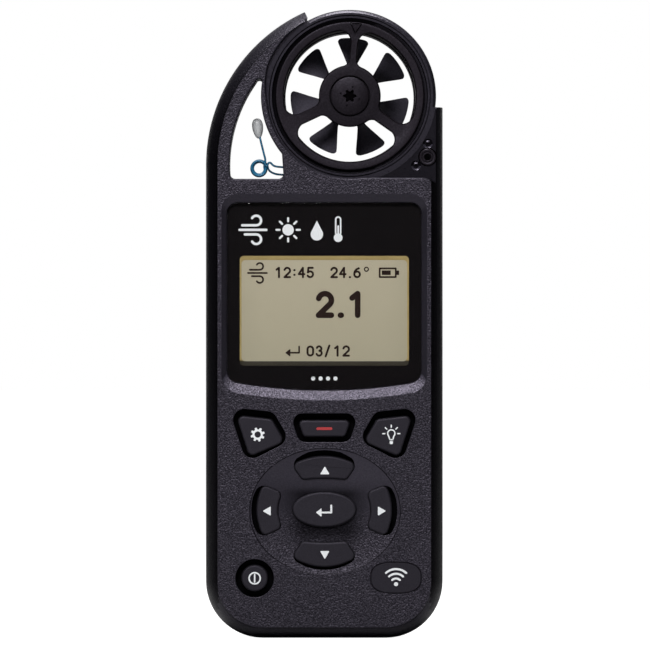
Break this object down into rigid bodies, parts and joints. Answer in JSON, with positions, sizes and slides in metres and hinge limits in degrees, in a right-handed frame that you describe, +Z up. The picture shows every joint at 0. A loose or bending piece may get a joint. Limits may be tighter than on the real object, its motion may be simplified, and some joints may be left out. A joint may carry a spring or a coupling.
{
  "type": "handheld weather meter",
  "caption": "Handheld weather meter: slim black case with a flow impeller, a thermistor bead in an open window, a reflective display, a round key pad and a battery hump behind.",
  "frame": {"origin": "middle of the case's bottom edge, halfway through its thickness", "axes": "+X to the viewer's right as the front is seen, +Y from the front face to the battery hump, +Z up the case"},
  "size_m": [0.0478, 0.028, 0.1269],
  "materials": {
    "case_plastic": "fine leather-like grain on the front plate, satin sides",
    "guard_plastic": "smooth satin moulding",
    "impeller_plastic": "smooth satin moulding",
    "key_rubber": "satin, with pale printed symbols",
    "lens_plastic": "gloss black border round a clear window",
    "lcd_glass": "grey-green reflective display",
    "light_guide": "milky",
    "frame_plastic": "satin",
    "seal_rubber": "matt",
    "circuit_board": "green solder mask",
    "chip_plastic": "matt moulded package",
    "steel": "bare",
    "brass": "machined",
    "coil_copper": "enamelled copper winding",
    "cell_sleeve": "plain unmarked sleeve",
    "jewel": "polished",
    "sensor_glass": "coated bead",
    "blue_insulation": "smooth insulation"
  },
  "bodies": {
    "root": {"front_shell": "case_plastic", "rear_shell": "case_plastic", "case_seal": "seal_rubber", "lcd_panel": "lcd_glass", "lcd_frame": "frame_plastic", "lcd_backlight": "light_guide", "display_connector": "seal_rubber", "keypad_mat": "seal_rubber", "dome_sheet": "steel", "main_pcb": "circuit_board", "processor_chip": "chip_plastic", "pressure_sensor": "chip_plastic", "humidity_sensor": "chip_plastic", "radio_module": "steel", "pickup_coil": "coil_copper", "aa_battery": "cell_sleeve", "battery_contact_plate": "steel", "battery_contact_spring": "steel", "battery_door_pin": "steel", "battery_door_seal": "seal_rubber", "vent_membrane": "light_guide", "lead_grommet": "seal_rubber", "thermistor_bead": "sensor_glass", "thermistor_lead_front": "blue_insulation", "thermistor_lead_rear": "blue_insulation", "case_screw_1": "steel", "case_screw_2": "steel", "case_screw_3": "steel", "case_screw_4": "steel", "tripod_insert": "brass", "cover_pivot_bushing": "steel", "data_window": "key_rubber", "display_window": "lens_plastic"},
    "cartridge": {"guard_front": "guard_plastic", "guard_rear": "guard_plastic", "hub_cap": "guard_plastic", "cartridge_o_ring": "seal_rubber", "front_jewel": "jewel", "rear_jewel": "jewel"},
    "impeller": {"impeller": "impeller_plastic", "impeller_shaft": "steel", "hub_magnet": "steel"},
    "battery_door": {"battery_door": "case_plastic"},
    "battery_door_latch": {"battery_door_latch": "guard_plastic"},
    "key_settings": {"key_settings": "key_rubber"},
    "key_capture": {"key_capture": "key_rubber"},
    "key_light": {"key_light": "key_rubber"},
    "key_up": {"key_up": "key_rubber"},
    "key_down": {"key_down": "key_rubber"},
    "key_left": {"key_left": "key_rubber"},
    "key_right": {"key_right": "key_rubber"},
    "key_enter": {"key_enter": "key_rubber"},
    "key_power": {"key_power": "key_rubber"}
  },
  "joints": [
    {"name": "cartridge_slide", "type": "slide", "parent": "root", "child": "cartridge", "axis": [0, 1, 0], "range_m": [0, 0.022]},
    {"name": "impeller_spin", "type": "hinge", "parent": "cartridge", "child": "impeller", "pos_m": [0.00515, -0.0039, 0.1095], "axis": [0, 1, 0], "continuous": true},
    {"name": "battery_door_hinge", "type": "hinge", "parent": "root", "child": "battery_door", "pos_m": [0, 0.0124, 0.0077], "axis": [-1, 0, 0], "range_deg": [0, 100]},
    {"name": "battery_latch_turn", "type": "hinge", "parent": "battery_door", "child": "battery_door_latch", "pos_m": [0, 0.0135, 0.0736], "axis": [0, 1, 0], "range_deg": [0, 90]},
    {"name": "key_settings_press", "type": "slide", "parent": "root", "child": "key_settings", "axis": [0, 1, 0], "range_m": [0, 0.0008]},
    {"name": "key_capture_press", "type": "slide", "parent": "root", "child": "key_capture", "axis": [0, 1, 0], "range_m": [0, 0.0008]},
    {"name": "key_light_press", "type": "slide", "parent": "root", "child": "key_light", "axis": [0, 1, 0], "range_m": [0, 0.0008]},
    {"name": "key_up_press", "type": "slide", "parent": "root", "child": "key_up", "axis": [0, 1, 0], "range_m": [0, 0.0008]},
    {"name": "key_down_press", "type": "slide", "parent": "root", "child": "key_down", "axis": [0, 1, 0], "range_m": [0, 0.0008]},
    {"name": "key_left_press", "type": "slide", "parent": "root", "child": "key_left", "axis": [0, 1, 0], "range_m": [0, 0.0008]},
    {"name": "key_right_press", "type": "slide", "parent": "root", "child": "key_right", "axis": [0, 1, 0], "range_m": [0, 0.0008]},
    {"name": "key_enter_press", "type": "slide", "parent": "root", "child": "key_enter", "axis": [0, 1, 0], "range_m": [0, 0.0008]},
    {"name": "key_power_press", "type": "slide", "parent": "root", "child": "key_power", "axis": [0, 1, 0], "range_m": [0, 0.0008]}
  ]
}
